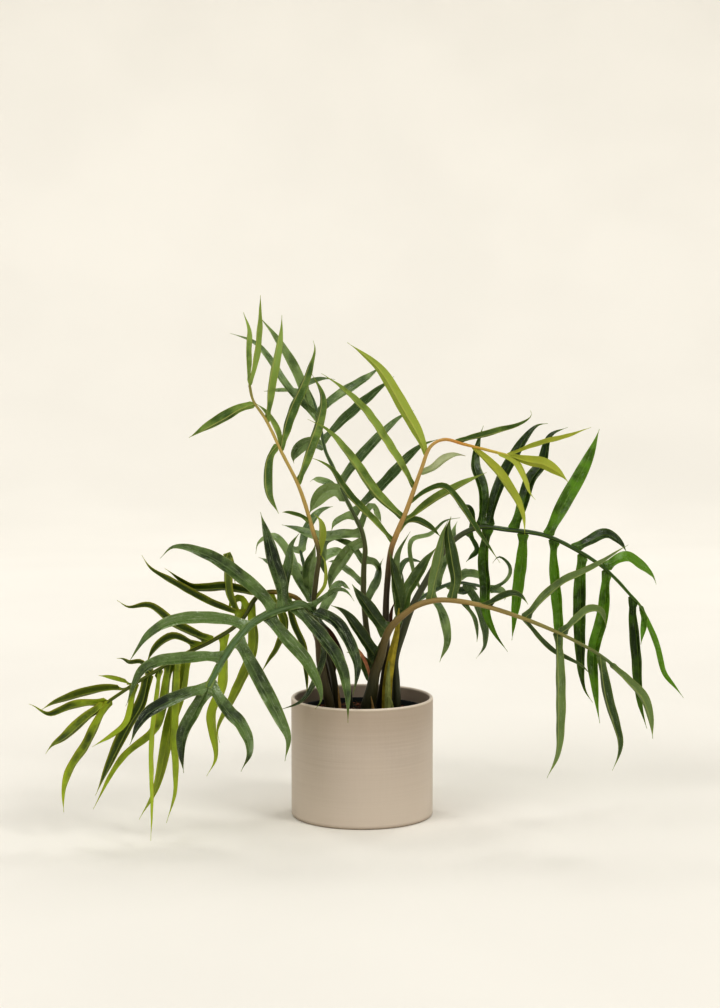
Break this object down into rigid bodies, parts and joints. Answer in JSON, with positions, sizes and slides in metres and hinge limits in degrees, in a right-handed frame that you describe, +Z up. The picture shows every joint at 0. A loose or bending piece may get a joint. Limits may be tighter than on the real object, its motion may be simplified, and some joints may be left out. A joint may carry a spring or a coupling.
{
  "type": "potted fern-leaf philodendron",
  "caption": "Fern-leaf philodendron with arching, deeply cut fronds, planted in a plain straight-sided taupe ceramic planter that stands on a flat foot.",
  "frame": {"origin": "centre of the planter's underside, on the surface it stands on", "axes": "+Z up along the planter's axis; -Y towards the pictured side; +X to the right as pictured"},
  "size_m": [0.9221, 0.4607, 0.7318],
  "materials": {
    "planter_glaze": "satin taupe glaze with fine level lines",
    "nursery_plastic": "matte",
    "potting_mix": "loose damp mix with red-brown bark",
    "leaf_green": "waxy leaf, paler midrib",
    "leaf_dark": "waxy dark green leaf",
    "leaf_olive": "thin olive leaf lit from behind",
    "sheath_green": "matte yellow-green sheath",
    "sheath_dry": "dry papery sheath"
  },
  "bodies": {
    "root": {"planter": "planter_glaze", "nursery_pot": "nursery_plastic", "potting_mix": "potting_mix", "frond_upper_left": "leaf_green", "frond_upper_middle": "leaf_green", "frond_back_middle": "leaf_dark", "frond_right_back": "leaf_green", "frond_right_front": "leaf_green", "frond_left_front": "leaf_dark", "frond_left": "leaf_olive", "frond_back_left": "leaf_dark", "frond_back_right": "leaf_dark", "frond_short": "leaf_green", "sheath_tall": "sheath_green", "sheath_short": "sheath_green", "sheath_dry": "sheath_dry", "sheath_pale": "sheath_dry", "sprout": "sheath_green"}
  },
  "joints": []
}
